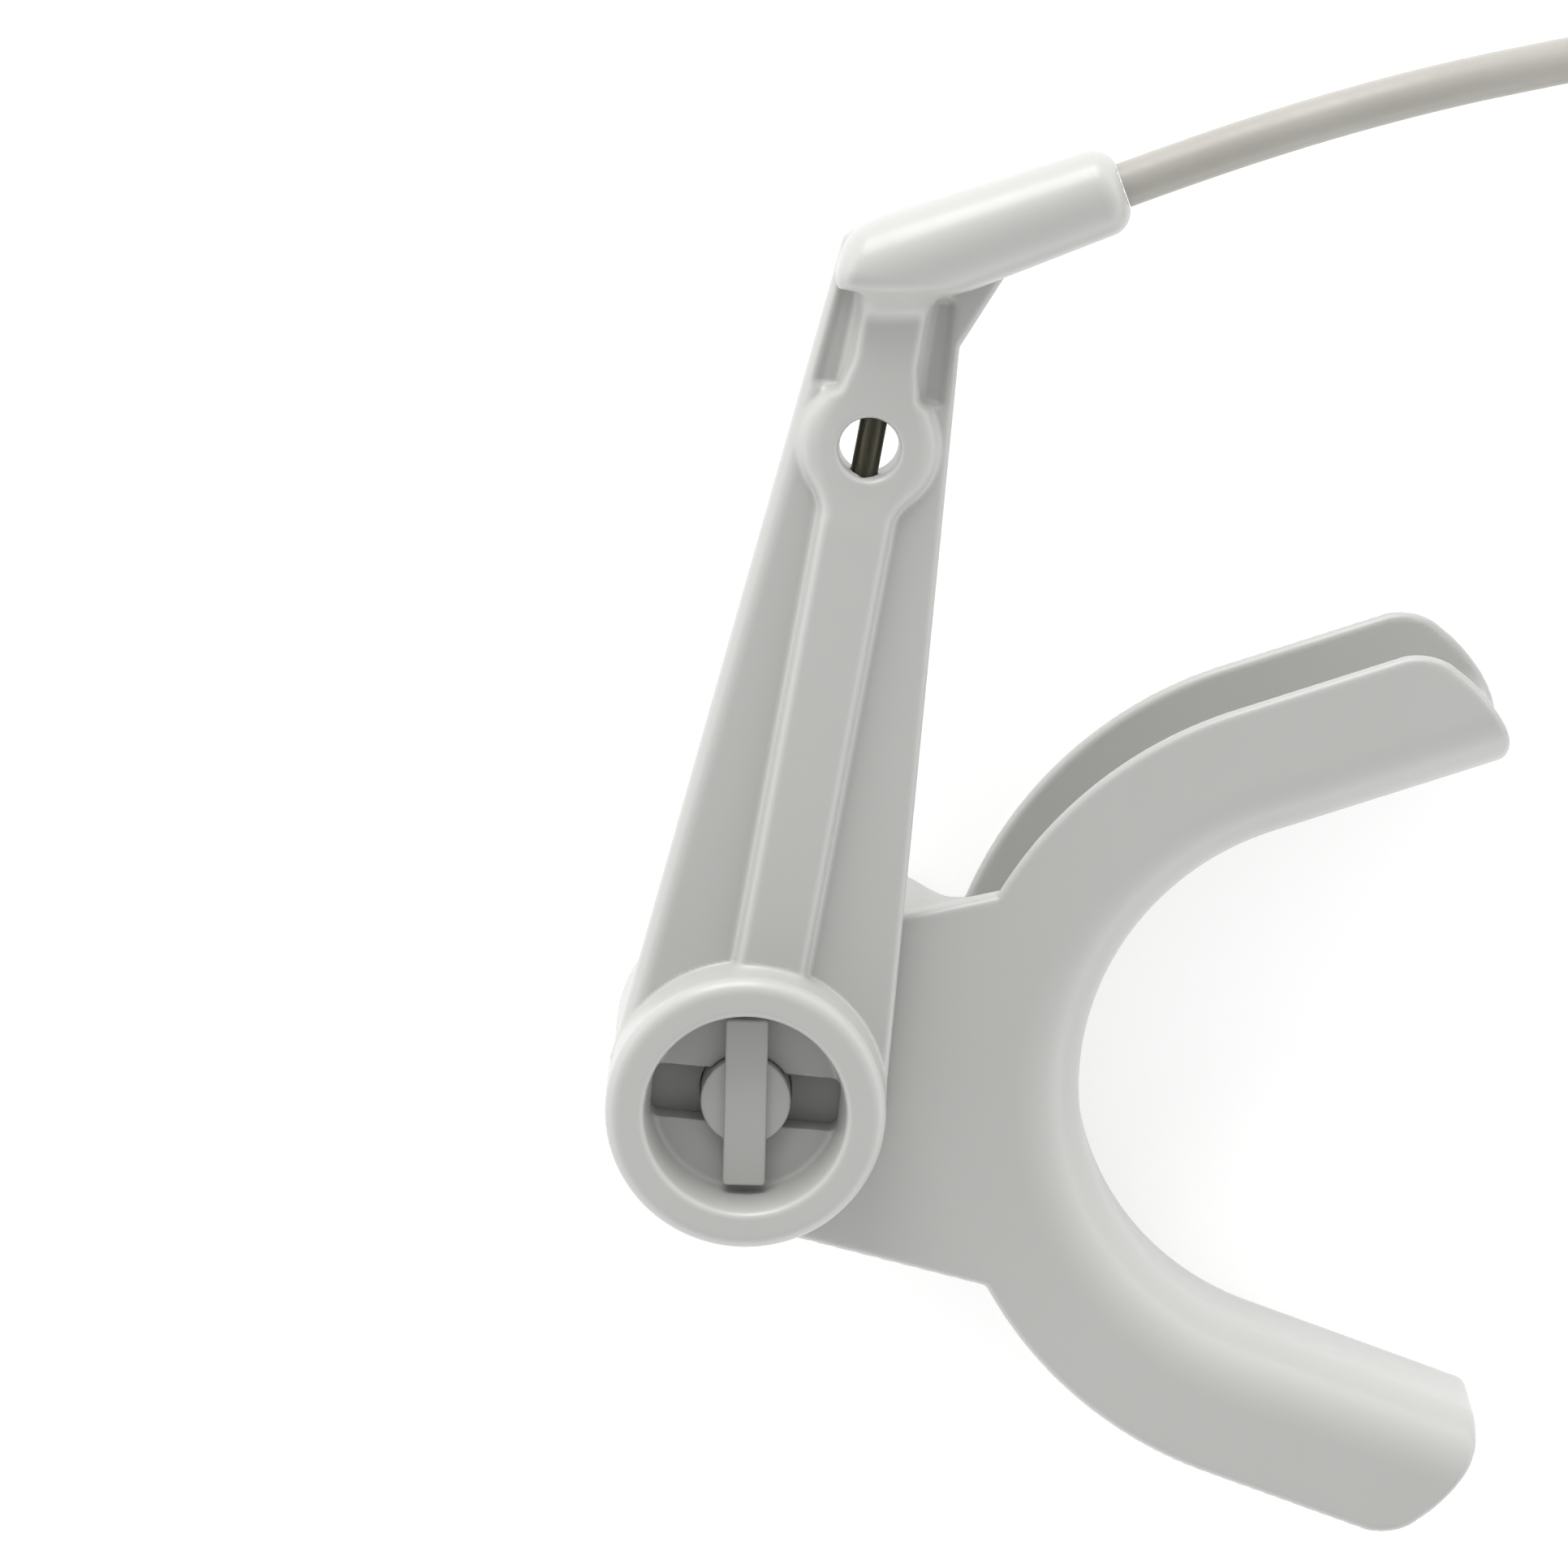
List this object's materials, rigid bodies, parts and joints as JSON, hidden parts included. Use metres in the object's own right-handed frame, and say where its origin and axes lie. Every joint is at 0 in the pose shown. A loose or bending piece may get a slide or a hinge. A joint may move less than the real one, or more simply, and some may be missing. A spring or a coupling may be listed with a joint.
{
  "type": "forked finger-lever sensor on a cable",
  "caption": "Forked white plastic cradle with a cupped lever arm turning on a quarter-turn pin; a steel sensor rod shows in the arm's window and a round cable leaves its elbow for a plug.",
  "frame": {"origin": "on the pivot axis, on the flat back face of the fork that the object lies on", "axes": "+Z along the pivot axis from the fork's back to the arm's cup, +X from the pivot to the fork's opening"},
  "size_m": [0.1535, 0.1391, 0.0286],
  "materials": {
    "fork_frame": "moulded, glossy off-white",
    "pivot_pin": "moulded, glossy off-white",
    "arm_body": "moulded, glossy off-white",
    "sensor_rod": "drawn stainless tube, dark in the window",
    "sensor_element": "epoxy-coated chip",
    "lead_wire_1": "red wire insulation",
    "lead_wire_2": "white wire insulation",
    "cable_ferrule": "crimped brass sleeve",
    "cable_lead": "soft satin cable jacket",
    "cable_coil": "soft satin cable jacket",
    "cable_tail": "soft satin cable jacket",
    "cable_tie": "black hook-and-loop strap",
    "plug_boot": "soft moulded strain relief",
    "plug_grip": "fine-textured moulded grip",
    "plug_shell": "nickel-plated shell",
    "plug_insert": "black insulator",
    "plug_pin_1": "gold-plated contact",
    "plug_pin_2": "gold-plated contact",
    "plug_pin_3": "gold-plated contact",
    "plug_pin_4": "gold-plated contact"
  },
  "bodies": {
    "fork": {"fork_frame": "fork_frame", "pivot_pin": "pivot_pin"},
    "arm": {"arm_body": "arm_body", "sensor_rod": "sensor_rod", "sensor_element": "sensor_element", "lead_wire_1": "lead_wire_1", "lead_wire_2": "lead_wire_2", "cable_ferrule": "cable_ferrule", "cable_lead": "cable_lead", "cable_coil": "cable_coil", "cable_tail": "cable_tail", "cable_tie": "cable_tie", "plug_boot": "plug_boot", "plug_grip": "plug_grip", "plug_shell": "plug_shell", "plug_insert": "plug_insert", "plug_pin_1": "plug_pin_1", "plug_pin_2": "plug_pin_2", "plug_pin_3": "plug_pin_3", "plug_pin_4": "plug_pin_4"}
  },
  "joints": [
    {"name": "arm_swing", "type": "hinge", "parent": "fork", "child": "arm", "pos_m": [0, 0, 0.0212], "axis": [0, 0, 1], "range_deg": [-75, 85]}
  ]
}
